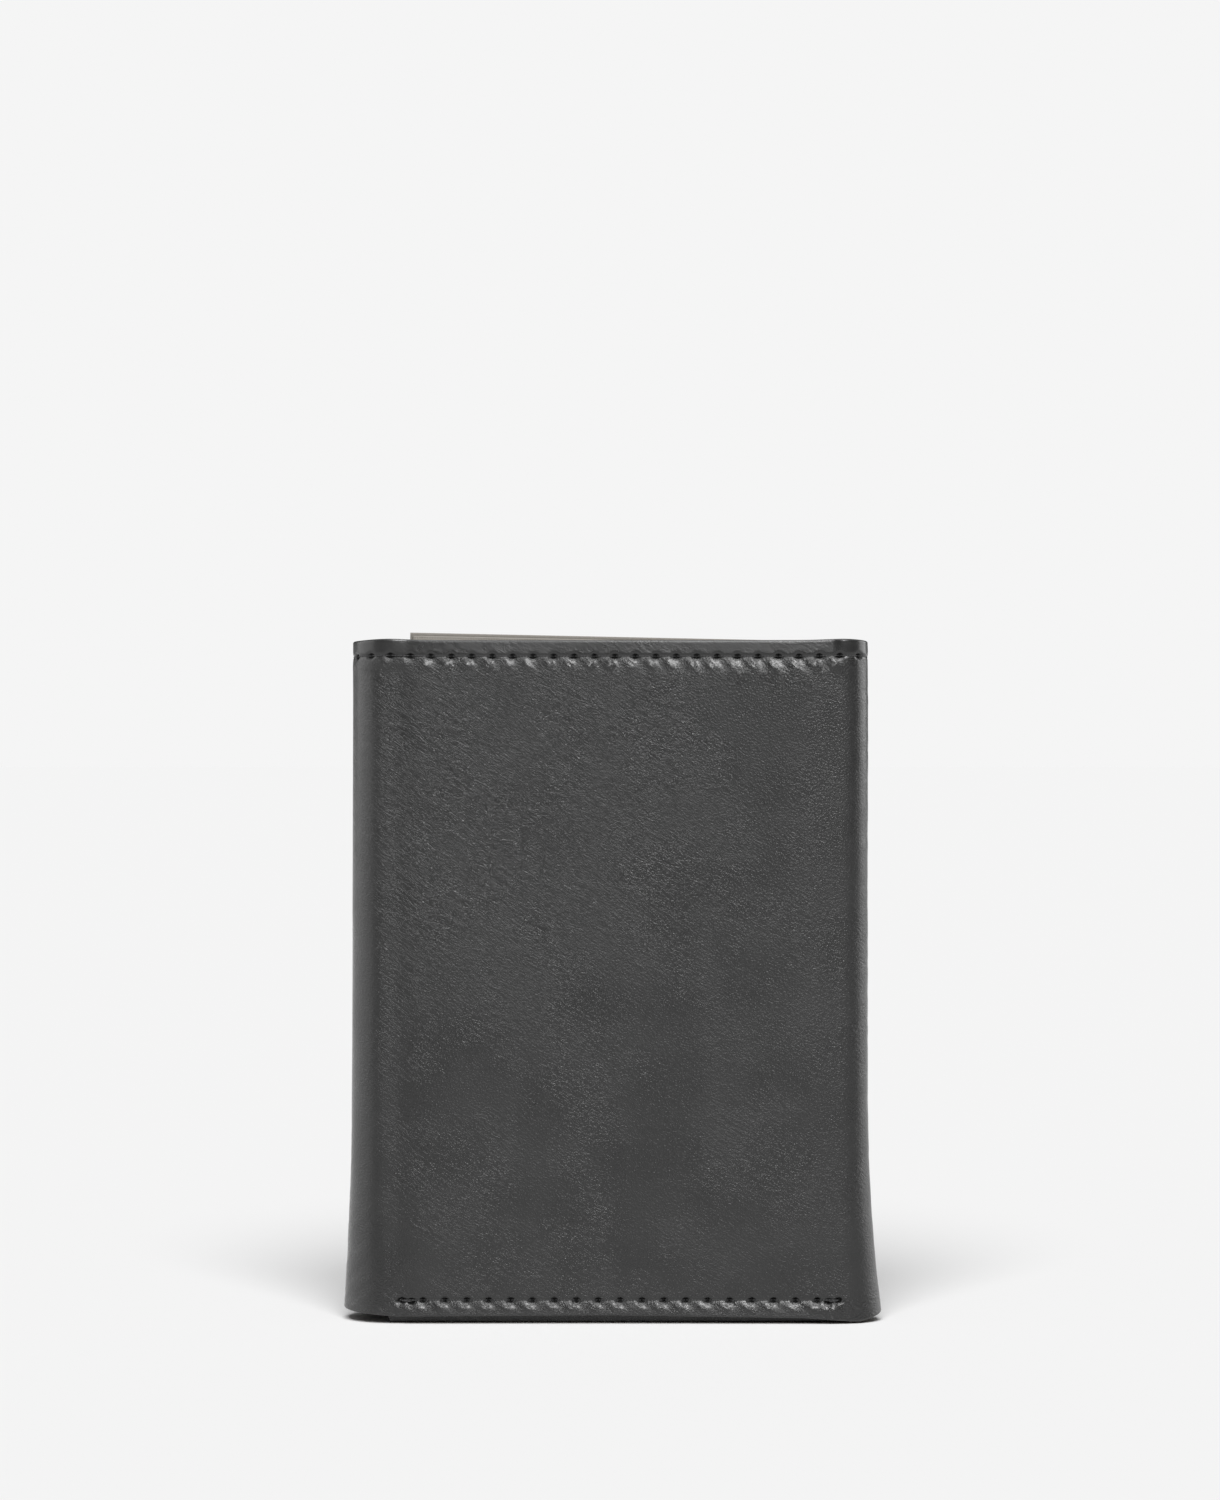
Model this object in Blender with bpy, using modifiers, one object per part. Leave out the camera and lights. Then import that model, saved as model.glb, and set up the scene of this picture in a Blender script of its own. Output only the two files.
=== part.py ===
"""A trifold wallet, closed and standing on its lower edge.

One leather shell runs round all three panels: the outer flap, the left fold, the centre panel, the
right fold and the inner flap. A fabric lining and an inner wall follow it inside, with the note
compartment between them, and three staggered card pockets lie on the inner wall of each panel.

The frame is +Z up, +X to the right and +Y away from the front of the centre panel. The origin is at
the bottom, in the middle of the closed wallet. Every fold turns about two vertical creases, a quarter
turn each, placed so that the leather keeps its length when the wallet is opened flat.
"""

import math

import bmesh
import bpy
from mathutils import Vector

MM = 0.001

# Driving dimensions
HEIGHT = 105.4 * MM
WIDTH = 80.0 * MM
LEFT_RADIUS = 7.15 * MM  # the left fold goes round three panels
RIGHT_RADIUS = 4.75 * MM  # the right fold goes round two
OUTER_FLAP_EDGE = 37.0 * MM
INNER_FLAP_EDGE = -34.3 * MM
INNER_FLAP_LEAN = 3.1 * MM  # the free edge's top lies this far inwards of its foot
INNER_FLAP_RISE = 1.4 * MM  # and this far above the other panels

# Layers, as depths below the wallet's outer skin
SHELL = (0.0, 1.1 * MM)
LINING = (1.4 * MM, 1.7 * MM)
INNER_WALL = (2.3 * MM, 2.75 * MM)
POCKET_DEPTHS = [3.0 * MM, 3.55 * MM, 4.1 * MM]
POCKET_THICKNESS = 0.3 * MM

# Heights: the closed wallet stands on its two flaps and on the centre's inner wall
SHELL_FEET = {
    "centre": 1.1 * MM,
    "left_spine": 1.2 * MM,
    "outer_flap": 0.0,
    "right_spine": 1.2 * MM,
    "inner_flap": 0.0,
}
INNER_WALL_FEET = {
    "centre": 0.0,
    "left_spine": 1.2 * MM,
    "outer_flap": 0.6 * MM,
    "right_spine": 1.2 * MM,
    "inner_flap": 0.6 * MM,
}
LINING_FOOT = 1.3 * MM
LINING_TOP = HEIGHT - 0.5 * MM
INNER_WALL_TOP = HEIGHT - 1.2 * MM
POCKET_FOOT = 1.6 * MM
POCKET_MOUTHS = [89.0 * MM, 77.0 * MM, 65.0 * MM]
POCKET_SPANS = {
    "centre": (-29.0 * MM, 31.5 * MM),
    "outer_flap": (-22.0 * MM, 35.5 * MM),
    "inner_flap": (-29.5 * MM, 29.5 * MM),
}

# Seams
SEAM_INSET = 2.5 * MM
BOTTOM_SEAM = 3.5 * MM
THREAD = 0.4 * MM
THREAD_RECESS = 0.05 * MM
GROOVE_DEPTH = 0.5 * MM
GROOVE_WIDTH = 0.7 * MM
WALL_THREAD = (2.8 * MM, 2.95 * MM)
SEAM_GAP = 0.5 * MM  # between rows that meet at a corner
EDGE_INSET = 0.5 * MM  # of the lining and the inner wall, within the shell's free edges

EDGE_ROUNDING = 0.18 * MM
CREASE_ANGLE = math.radians(45)
CREASE_GAP = math.radians(2.5)
ARC_STEP = math.radians(11.25)
CREASE_OFFSET = math.pi / 4  # a crease's distance past the fold's tangent, in radii
SHARP = math.radians(30)

FRONT = -LEFT_RADIUS
LEFT_TANGENT = -WIDTH / 2 + LEFT_RADIUS
RIGHT_TANGENT = WIDTH / 2 - RIGHT_RADIUS
RIGHT_CENTRE = FRONT + RIGHT_RADIUS
MATERIALS = {
    "shell_leather": {"color": (0.052, 0.052, 0.053), "roughness": 0.42},
    "pocket_leather": {"color": (0.045, 0.044, 0.044), "roughness": 0.5},
    "lining_fabric": {"color": (0.42, 0.39, 0.35), "roughness": 0.85},
    "thread": {"color": (0.015, 0.015, 0.016), "roughness": 0.7},
}


def clear_scene():
    for obj in list(bpy.data.objects):
        bpy.data.objects.remove(obj)


def new_collection(name, hidden=False):
    collection = bpy.data.collections.new(name)
    collection.hide_render = hidden
    bpy.context.scene.collection.children.link(collection)
    return collection


def new_material(name, color, roughness):
    material = bpy.data.materials.new(name)
    material.use_nodes = True
    shader = material.node_tree.nodes["Principled BSDF"]
    shader.inputs["Base Color"].default_value = (*color, 1)
    shader.inputs["Roughness"].default_value = roughness
    return material


def crease(side, which):
    """The place in plan of a fold's crease: 0 beside the centre panel, 1 beside the flap."""
    radius = LEFT_RADIUS if side == "left" else RIGHT_RADIUS
    inset = (1 - CREASE_OFFSET) * radius
    y = FRONT + (inset if which == 0 else 2 * radius - inset)
    if side == "left":
        return LEFT_TANGENT - CREASE_OFFSET * radius, y
    return RIGHT_TANGENT + CREASE_OFFSET * radius, y


def arc(side, depth, first, last):
    """Points of a fold at a depth below the skin, by the angle turned since the centre panel."""
    count = max(1, round(abs(last - first) / ARC_STEP))
    angles = [first + (last - first) * i / count for i in range(count + 1)]
    if side == "left":
        radius = LEFT_RADIUS - depth
        return [(LEFT_TANGENT - radius * math.sin(a), -radius * math.cos(a)) for a in angles]
    radius = RIGHT_RADIUS - depth
    return [
        (RIGHT_TANGENT + radius * math.sin(a), RIGHT_CENTRE - radius * math.cos(a))
        for a in angles
    ]


def layer_line(section, depth, edge_inset=0.0, gap=CREASE_GAP):
    """The line that a layer follows in plan, through one section of the wallet."""
    near, far = CREASE_ANGLE - gap, CREASE_ANGLE + gap
    if section == "centre":
        return arc("left", depth, near, 0) + arc("right", depth, 0, near)
    if section == "left_spine":
        return arc("left", depth, math.pi - far, far)
    if section == "right_spine":
        return arc("right", depth, far, math.pi - far)
    if section == "outer_flap":
        free = (OUTER_FLAP_EDGE - edge_inset, LEFT_RADIUS - depth)
        return [free] + arc("left", depth, math.pi, math.pi - near)
    free = (INNER_FLAP_EDGE + edge_inset, RIGHT_CENTRE + RIGHT_RADIUS - depth)
    return arc("right", depth, math.pi - near, math.pi) + [free]


def layer_outline(section, depths, edge_inset=0.0, gap=CREASE_GAP):
    outer = layer_line(section, depths[0], edge_inset, gap)
    inner = layer_line(section, depths[1], edge_inset, gap)
    return outer + inner[::-1]


def flat_outline(section, depths, span):
    """A straight strip of a panel, from one X to another."""
    if section == "centre":
        ys = [FRONT + depth for depth in depths]
    elif section == "outer_flap":
        ys = [LEFT_RADIUS - depth for depth in depths]
    else:
        ys = [RIGHT_CENTRE + RIGHT_RADIUS - depth for depth in depths]
    return [(span[0], ys[0]), (span[1], ys[0]), (span[1], ys[1]), (span[0], ys[1])]


def lean_inner_flap(point):
    """The inner flap's shape: it rises and leans inwards towards its free edge."""
    reach = (RIGHT_TANGENT - point.x) / (RIGHT_TANGENT - INNER_FLAP_EDGE)
    share = min(max(reach, 0.0), 1.0) * point.z / HEIGHT
    return Vector((point.x + INNER_FLAP_LEAN * share, point.y, point.z + INNER_FLAP_RISE * share))


def extruded(name, section, outline, low, high, collection):
    """A solid that stands on an outline in plan, from one height to another."""
    mesh = bpy.data.meshes.new(name)
    shape = bmesh.new()
    base = shape.faces.new([shape.verts.new((x, y, low)) for x, y in outline])
    grown = bmesh.ops.extrude_face_region(shape, geom=[base])
    raised = [item for item in grown["geom"] if isinstance(item, bmesh.types.BMVert)]
    bmesh.ops.translate(shape, verts=raised, vec=(0, 0, high - low))
    if section == "inner_flap":
        for vertex in shape.verts:
            vertex.co = lean_inner_flap(vertex.co)
    bmesh.ops.recalc_face_normals(shape, faces=shape.faces)
    shape.to_mesh(mesh)
    shape.free()
    obj = bpy.data.objects.new(name, mesh)
    collection.objects.link(obj)
    return obj


def finished(obj, material, rounded=False):
    """Gives a piece its material and, where it is cut leather, its rounded edges."""
    obj.data.materials.append(MATERIALS[material])
    if rounded:
        bevel = obj.modifiers.new("rounded_edges", "BEVEL")
        bevel.width = EDGE_ROUNDING
        bevel.segments = 1
        bevel.limit_method = "ANGLE"
        bevel.angle_limit = SHARP
    obj.data.shade_smooth()
    obj.data.set_sharp_from_angle(angle=SHARP)
    return obj


def cut(obj, cutter):
    boolean = obj.modifiers.new("groove", "BOOLEAN")
    boolean.operation = "DIFFERENCE"
    boolean.solver = "EXACT"
    boolean.object = cutter


def new_cutter(name, section, outline, low, high):
    cutter = extruded(name, section, outline, low, high, CUTTERS)
    cutter.hide_render = True
    cutter.display_type = "WIRE"
    return cutter


def sew(shell, name, section, outline_at, low, high):
    """Cuts a seam's groove in the shell and lays its thread there."""
    spare = (GROOVE_WIDTH - THREAD) / 2
    groove = outline_at((-GROOVE_DEPTH, GROOVE_DEPTH), spare)
    cut(shell, new_cutter(name + "_groove", section, groove, low - spare, high + spare))
    thread = outline_at((THREAD_RECESS, GROOVE_DEPTH - THREAD_RECESS), 0.0)
    PIECES[name] = finished(extruded(name, section, thread, low, high, WALLET), "thread")


def sew_top(shell, section):
    def outline_at(depths, spare):
        gap = 0.0 if spare else CREASE_GAP
        return layer_outline(section, depths, SEAM_INSET - spare, gap)

    middle = HEIGHT - SEAM_INSET
    name = f"thread_top_{section}"
    sew(shell, name, section, outline_at, middle - THREAD / 2, middle + THREAD / 2)


def sew_bottom(shell, section, span):
    def outline_at(depths, spare):
        return flat_outline(section, depths, (span[0] - spare, span[1] + spare))

    name = f"thread_bottom_{section}"
    sew(shell, name, section, outline_at, BOTTOM_SEAM - THREAD / 2, BOTTOM_SEAM + THREAD / 2)


def sew_side(shell, section, middle):
    def outline_at(depths, spare):
        half = THREAD / 2 + spare
        return flat_outline(section, depths, (middle - half, middle + half))

    name = f"thread_side_{section}"
    low, high = BOTTOM_SEAM + SEAM_GAP, HEIGHT - SEAM_INSET - SEAM_GAP
    sew(shell, name, section, outline_at, low, high)


def add_layer(layer, section, depths, heights, material, edge_inset=0.0, rounded=False):
    name = f"{layer}_{section}"
    outline = layer_outline(section, depths, edge_inset)
    obj = extruded(name, section, outline, *heights, WALLET)
    PIECES[name] = finished(obj, material, rounded)
    return obj


def add_pockets(section):
    span = POCKET_SPANS[section]
    for row, (depth, mouth) in enumerate(zip(POCKET_DEPTHS, POCKET_MOUTHS), start=1):
        outline = flat_outline(section, (depth, depth + POCKET_THICKNESS), span)
        name = f"card_pocket_{section}_{row}"
        obj = extruded(name, section, outline, POCKET_FOOT, mouth, WALLET)
        PIECES[name] = finished(obj, "pocket_leather")


def add_section(section):
    """The shell, lining, inner wall and top seams of one section."""
    shell_heights = (SHELL_FEET[section], HEIGHT)
    lining_heights = (LINING_FOOT, LINING_TOP)
    wall_heights = (INNER_WALL_FEET[section], INNER_WALL_TOP)
    seam = INNER_WALL_TOP - SEAM_INSET
    thread_heights = (seam - THREAD / 2, seam + THREAD / 2)
    shell = add_layer("shell", section, SHELL, shell_heights, "shell_leather", rounded=True)
    add_layer("lining", section, LINING, lining_heights, "lining_fabric", EDGE_INSET)
    add_layer("inner_wall", section, INNER_WALL, wall_heights, "pocket_leather", EDGE_INSET)
    add_layer("wall_thread", section, WALL_THREAD, thread_heights, "thread", SEAM_INSET)
    sew_top(shell, section)
    return shell


def add_joint(name, place):
    """An empty on a crease's axis."""
    empty = bpy.data.objects.new(name, None)
    empty.empty_display_size = HEIGHT / 4
    empty.location = (*place, 0)
    WALLET.objects.link(empty)
    return empty


def hang(child, parent):
    """Parents a piece and leaves it where it is."""
    bpy.context.view_layer.update()
    place = child.matrix_world.copy()
    child.parent = parent
    child.matrix_parent_inverse = parent.matrix_world.inverted()
    child.matrix_world = place


def join_sections():
    """Hangs each section's pieces on the crease that it turns about."""
    axes = {
        "left_spine": add_joint("crease_left_spine", crease("left", 0)),
        "outer_flap": add_joint("crease_outer_flap", crease("left", 1)),
        "right_spine": add_joint("crease_right_spine", crease("right", 0)),
        "inner_flap": add_joint("crease_inner_flap", crease("right", 1)),
    }
    hang(axes["outer_flap"], axes["left_spine"])
    hang(axes["inner_flap"], axes["right_spine"])
    for name, obj in PIECES.items():
        for section, axis in axes.items():
            if section in name:
                hang(obj, axis)


clear_scene()
WALLET = new_collection("trifold_wallet")
CUTTERS = new_collection("groove_cutters", hidden=True)
MATERIALS = {name: new_material(name, **look) for name, look in MATERIALS.items()}
PIECES = {}

shells = {
    section: add_section(section)
    for section in ("centre", "left_spine", "outer_flap", "right_spine", "inner_flap")
}
for panel in POCKET_SPANS:
    add_pockets(panel)
sew_bottom(shells["centre"], "centre", (LEFT_TANGENT, RIGHT_TANGENT))
sew_bottom(shells["outer_flap"], "outer_flap", (LEFT_TANGENT, OUTER_FLAP_EDGE - SEAM_INSET))
sew_bottom(shells["inner_flap"], "inner_flap", (INNER_FLAP_EDGE + SEAM_INSET, RIGHT_TANGENT))
sew_side(shells["outer_flap"], "outer_flap", OUTER_FLAP_EDGE - SEAM_INSET)
sew_side(shells["inner_flap"], "inner_flap", INNER_FLAP_EDGE + SEAM_INSET)
join_sections()
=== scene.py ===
import math

import bpy
import numpy as np
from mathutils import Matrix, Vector


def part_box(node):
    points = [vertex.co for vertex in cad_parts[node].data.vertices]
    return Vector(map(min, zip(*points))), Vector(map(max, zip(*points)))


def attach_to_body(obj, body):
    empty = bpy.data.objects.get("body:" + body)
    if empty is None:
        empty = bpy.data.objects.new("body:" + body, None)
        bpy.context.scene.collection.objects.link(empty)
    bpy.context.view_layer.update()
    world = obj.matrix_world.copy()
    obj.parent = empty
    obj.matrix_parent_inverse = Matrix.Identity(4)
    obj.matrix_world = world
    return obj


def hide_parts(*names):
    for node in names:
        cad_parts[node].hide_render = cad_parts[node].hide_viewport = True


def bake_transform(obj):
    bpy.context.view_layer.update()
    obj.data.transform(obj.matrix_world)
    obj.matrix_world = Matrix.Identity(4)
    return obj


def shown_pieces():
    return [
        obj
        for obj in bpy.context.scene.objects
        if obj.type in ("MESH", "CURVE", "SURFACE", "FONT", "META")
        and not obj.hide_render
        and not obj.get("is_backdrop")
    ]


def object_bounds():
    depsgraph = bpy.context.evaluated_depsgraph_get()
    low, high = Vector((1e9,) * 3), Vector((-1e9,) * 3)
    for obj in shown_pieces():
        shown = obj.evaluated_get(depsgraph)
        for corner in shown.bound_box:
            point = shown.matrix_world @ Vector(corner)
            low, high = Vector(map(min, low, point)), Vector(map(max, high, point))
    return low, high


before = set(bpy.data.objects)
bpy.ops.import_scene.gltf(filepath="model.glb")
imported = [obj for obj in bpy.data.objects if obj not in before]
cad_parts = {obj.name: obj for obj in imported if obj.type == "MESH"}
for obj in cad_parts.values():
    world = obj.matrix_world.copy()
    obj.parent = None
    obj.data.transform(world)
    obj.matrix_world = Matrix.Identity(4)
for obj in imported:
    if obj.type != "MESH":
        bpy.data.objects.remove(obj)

CAD_BOX = [list(corner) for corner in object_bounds()]

# The wallet's skin is drawn unrolled: s runs along it, with 0 at the middle of the front panel, from
# the outer flap's free edge at the lowest s to the inner flap's at the highest; z is the height and
# depth goes inwards from the skin. place() rolls all of it up round the two folds.

MM = 0.001
HALF_PI = math.pi / 2

# The closed wallet, from the frame
LOW, HIGH = (Vector(corner) for corner in CAD_BOX)
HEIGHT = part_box("shell_centre")[1].z
FRONT = LOW.y
LEFT_RADIUS = HIGH.y
RIGHT_RADIUS = (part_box("shell_inner_flap")[1].y - FRONT) / 2
LEFT_TANGENT = LOW.x + LEFT_RADIUS
RIGHT_TANGENT = HIGH.x - RIGHT_RADIUS
OUTER_FLAP_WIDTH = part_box("shell_outer_flap")[1].x - LEFT_TANGENT
INNER_FLAP_WIDTH = RIGHT_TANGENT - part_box("shell_inner_flap")[0].x
INNER_FLAP_LEAN = 3.1 * MM
INNER_FLAP_RISE = HIGH.z - HEIGHT

# Where the sections meet along s
LEFT_MIDDLE = LEFT_TANGENT - HALF_PI * LEFT_RADIUS
LEFT_BACK = LEFT_TANGENT - math.pi * LEFT_RADIUS
OUTER_EDGE = LEFT_BACK - OUTER_FLAP_WIDTH
RIGHT_MIDDLE = RIGHT_TANGENT + HALF_PI * RIGHT_RADIUS
RIGHT_BACK = RIGHT_TANGENT + math.pi * RIGHT_RADIUS
INNER_EDGE = RIGHT_BACK + INNER_FLAP_WIDTH
SECTIONS = {
    "outer_flap": (OUTER_EDGE, LEFT_BACK),
    "left_fold_back": (LEFT_BACK, LEFT_MIDDLE),
    "left_fold_front": (LEFT_MIDDLE, LEFT_TANGENT),
    "centre": (LEFT_TANGENT, RIGHT_TANGENT),
    "right_fold_front": (RIGHT_TANGENT, RIGHT_MIDDLE),
    "right_fold_back": (RIGHT_MIDDLE, RIGHT_BACK),
    "inner_flap": (RIGHT_BACK, INNER_EDGE),
}
BODIES = {
    "outer_flap": ["outer_flap"],
    "left_fold_back": ["outer_flap", "left_spine"],
    "left_fold_front": ["left_spine", "centre"],
    "centre": ["centre"],
    "right_fold_front": ["centre", "right_spine"],
    "right_fold_back": ["right_spine", "inner_flap"],
    "inner_flap": ["inner_flap"],
}
# The CAD section that each of those stands for
STANDS_FOR = {
    "outer_flap": "outer_flap",
    "left_fold_back": "left_spine",
    "left_fold_front": "left_spine",
    "centre": "centre",
    "right_fold_front": "right_spine",
    "right_fold_back": "right_spine",
    "inner_flap": "inner_flap",
}

# Layers
SHELL_THICKNESS = 1.1 * MM
LINING = (1.4 * MM, 1.7 * MM)
WALL = (2.3 * MM, 2.75 * MM)
POCKET_DEPTHS = [3.0 * MM, 3.55 * MM, 4.1 * MM]
POCKET_THICKNESS = 0.3 * MM
POCKET_MOUTHS = [89.0 * MM, 77.0 * MM, 65.0 * MM]
POCKET_FOOT = 1.6 * MM
LINING_FOOT = 1.2 * MM
LINING_TOP = HEIGHT - 0.5 * MM
WALL_FOOT = 0.6 * MM
WALL_TOP = HEIGHT - 1.2 * MM
EDGE_INSET = 0.5 * MM  # of the lining and the wall, within the shell's free edges

# The folds
FOLD_POWER = 2.3  # 2 is round, more is squarer
FOLD_TOP_DROP = 0.1 * MM
FOLD_TOP_RISE = 0.2 * MM  # where the folds start

# Seams
STITCH = 3.15 * MM
BOTTOM_STITCH = 3.375 * MM
TOP_SEAM = HEIGHT - 2.5 * MM
BOTTOM_SEAM = 3.7 * MM
SEAM_INSET = 2.5 * MM
FIRST_HOLE = 35.4 * MM
CENTRE_SEAM = (-32.2 * MM, 35.3 * MM)
THREAD_RADIUS = 0.12 * MM
SUNK = -0.12 * MM  # how proud the outer stitches lie
GROOVE_DEPTH = 0.12
GROOVE_WIDTH = 0.2 * MM

# The dent at a stitch hole and the bulge beside it: half-widths, depth and place
DENT = (0.45 * MM, 0.36 * MM)
DENT_DEPTH = 0.62
BULGE = (1.0 * MM, 0.7 * MM)
BULGE_SHIFT = (0.8 * MM, 1.35 * MM)

# Camera, floor and the light from all round
CAMERA_DISTANCE = 0.6
CAMERA_HEIGHT = 0.08845
LENS = 93.5
SENSOR = 36
FLOOR_TONE = 0.9
BACKDROP = 0.913
FILL = 0.13


def smooth(value, low, high):
    """0 below low, 1 above high and a smooth step between."""
    share = np.clip((value - low) / (high - low), 0, 1)
    return share * share * (3 - 2 * share)


def bell(value, middle, width):
    return np.exp(-(((value - middle) / width) ** 2))


def noise(u, v, seed):
    """Smooth value noise, from -1 to 1, with a cell of 1."""
    lattice = np.random.default_rng(seed).uniform(-1, 1, (256, 256))
    u, v = np.broadcast_arrays(u, v)
    column, row = np.floor(u).astype(int), np.floor(v).astype(int)
    across, up = u - column, v - row
    across, up = across * across * (3 - 2 * across), up * up * (3 - 2 * up)
    low = lattice[column % 256, row % 256] * (1 - across) + lattice[(column + 1) % 256, row % 256] * across
    high = (
        lattice[column % 256, (row + 1) % 256] * (1 - across)
        + lattice[(column + 1) % 256, (row + 1) % 256] * across
    )
    return low * (1 - up) + high * up


# Shape of the closed wallet


def squareness(angle):
    """How far out a fold's skin lies at an angle of its turn, against a round fold."""
    lobes = np.abs(np.sin(angle)) ** FOLD_POWER + np.abs(np.cos(angle)) ** FOLD_POWER
    return lobes ** (-1 / FOLD_POWER)


def left_flare(z):
    return 0.3 * MM * (1 - z / HEIGHT) + 1.2 * MM * np.clip(1 - z / (30 * MM), 0, 1) ** 1.5


def right_flare(z):
    return 2.3 * MM * np.clip(1 - z / (36 * MM), 0, 1) ** 2


def place(s, z, depth):
    """Points of the unrolled wallet, where they lie in the closed one."""
    s, z, depth = np.broadcast_arrays(s, z, depth)
    left = np.clip((LEFT_TANGENT - s) / LEFT_RADIUS, 0, math.pi)
    right = np.clip((s - RIGHT_TANGENT) / RIGHT_RADIUS, 0, math.pi)
    left_reach = (LEFT_RADIUS - depth) * squareness(left)
    right_reach = (RIGHT_RADIUS - depth) * squareness(right)
    x = np.clip(s, LEFT_TANGENT, RIGHT_TANGENT)
    x = x - left_reach * np.sin(left) + right_reach * np.sin(right)
    x = x - left_flare(z) * np.sin(left) ** 2 + right_flare(z) * np.sin(right) ** 2
    x = x + np.clip(LEFT_BACK - s, 0, None) - np.clip(s - RIGHT_BACK, 0, None)
    y = np.where(
        s < 0,
        -left_reach * np.cos(left),
        FRONT + RIGHT_RADIUS - right_reach * np.cos(right),
    )
    share = np.clip(s - RIGHT_BACK, 0, None) / INNER_FLAP_WIDTH * z / HEIGHT
    return np.stack([x + INNER_FLAP_LEAN * share, y, z + INNER_FLAP_RISE * share], axis=-1)


def shell_foot(s):
    """The height of the shell's lower edge, which clears the ground all along the front."""
    marks = [LEFT_BACK, LEFT_MIDDLE, LEFT_TANGENT, 0, 30 * MM, 38 * MM, RIGHT_MIDDLE, RIGHT_BACK]
    heights = [0, 1.9 * MM, 1.15 * MM, 1.35 * MM, 0.9 * MM, 0.3 * MM, 1.6 * MM, 0]
    return np.interp(s, marks, heights)


def top_drop(s):
    left = np.clip((LEFT_TANGENT - s) / LEFT_RADIUS, 0, math.pi)
    right = np.clip((s - RIGHT_TANGENT) / RIGHT_RADIUS, 0, math.pi)
    rise = bell(s, LEFT_TANGENT - 1.5 * MM, 4 * MM) + bell(s, RIGHT_TANGENT + 1 * MM, 4 * MM)
    return FOLD_TOP_DROP * (np.sin(left) ** 2 + np.sin(right) ** 2) - FOLD_TOP_RISE * rise


# Seams


def evenly(first, last, pitch):
    """Places from first to last, a pitch apart as nearly as they fit."""
    return np.linspace(first, last, max(1, round(abs(last - first) / pitch)) + 1)


def top_holes():
    """The top row, all along the wallet."""
    before = int((FIRST_HOLE - OUTER_EDGE - SEAM_INSET) / STITCH)
    after = int((INNER_EDGE - SEAM_INSET - FIRST_HOLE) / STITCH)
    return FIRST_HOLE + STITCH * np.arange(-before, after + 1)


def seam_rows():
    """Every row of holes through the shell, as points (s, z)."""
    rows = {"top": [(s, TOP_SEAM) for s in top_holes()]}
    spans = {
        "centre": CENTRE_SEAM,
        "outer_flap": (OUTER_EDGE + SEAM_INSET, LEFT_BACK),
        "inner_flap": (RIGHT_BACK, INNER_EDGE - SEAM_INSET),
    }
    for panel, span in spans.items():
        rows[f"bottom_{panel}"] = [(s, BOTTOM_SEAM) for s in evenly(*span, BOTTOM_STITCH)]
    for panel, s in (("outer_flap", OUTER_EDGE + SEAM_INSET), ("inner_flap", INNER_EDGE - SEAM_INSET)):
        rows[f"side_{panel}"] = [(s, z) for z in evenly(BOTTOM_SEAM, TOP_SEAM, STITCH)]
    return rows


SEAMS = seam_rows()


def back_tacks():
    """The extra holes where the centre panel's bottom row was sewn twice, at both of its ends."""
    first, last = CENTRE_SEAM
    half = BOTTOM_STITCH / 2
    return [(first + half, BOTTOM_SEAM - 0.2 * MM), (last - half, BOTTOM_SEAM - 0.2 * MM)]


# Relief of the shell's outer face: outwards from the plain skin


def panel_pillow(s, z):
    """The panels' pillow between their seams, their flared edges and the valley at the left fold."""
    inside = smooth(z, BOTTOM_SEAM - 0.2 * MM, BOTTOM_SEAM + 11 * MM)
    inside = inside * (1 - smooth(z, TOP_SEAM - 3.1 * MM, TOP_SEAM + 0.1 * MM))
    across = smooth(s, LEFT_TANGENT - 1.8 * MM, LEFT_TANGENT + 2.0 * MM)
    across = across * (1 - smooth(s, RIGHT_TANGENT - 5 * MM, RIGHT_TANGENT + 1.5 * MM))
    back = 1 - smooth(s, LEFT_BACK - 9 * MM, LEFT_BACK)
    back = back * smooth(s, OUTER_EDGE + SEAM_INSET, OUTER_EDGE + SEAM_INSET + 5 * MM)
    inner = smooth(s, RIGHT_BACK, RIGHT_BACK + 6 * MM)
    inner = inner * (1 - smooth(s, INNER_EDGE - SEAM_INSET - 5 * MM, INNER_EDGE - SEAM_INSET))
    flared = 0.3 * MM * (1 - smooth(z, 0.8 * MM, BOTTOM_SEAM + 0.6 * MM))
    flared = flared - 0.24 * MM * np.clip((z - TOP_SEAM) / (HEIGHT - TOP_SEAM), 0, 1)
    valley = 0.45 * MM * bell(s, LEFT_TANGENT + 0.1 * MM, 2.5 * MM)
    left_fold = smooth(s, LEFT_BACK, LEFT_BACK + MM)
    left_fold = left_fold * (1 - smooth(s, LEFT_TANGENT - MM, LEFT_TANGENT + 2 * MM))
    right_fold = smooth(s, RIGHT_TANGENT - MM, RIGHT_TANGENT + MM)
    right_fold = right_fold * (1 - smooth(s, RIGHT_BACK - MM, RIGHT_BACK))
    folds = left_fold + right_fold
    fuller = 0.65 + 0.35 * smooth(s, -12 * MM, 25 * MM)
    raised = 0.32 * MM * inside * (across * fuller + back + 0.3 * inner)
    return raised + flared * (1 - folds) - valley * np.clip(inside, 0.3, 1)


def undulation(s, z):
    slow = noise(s / (17 * MM) + 3, z / (23 * MM), 5) + 0.5 * noise(s / (8 * MM), z / (11 * MM) + 7, 6)
    return 0.055 * MM * slow * smooth(z, 0, 12 * MM) * (1 - smooth(z, TOP_SEAM - 9 * MM, TOP_SEAM))


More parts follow.
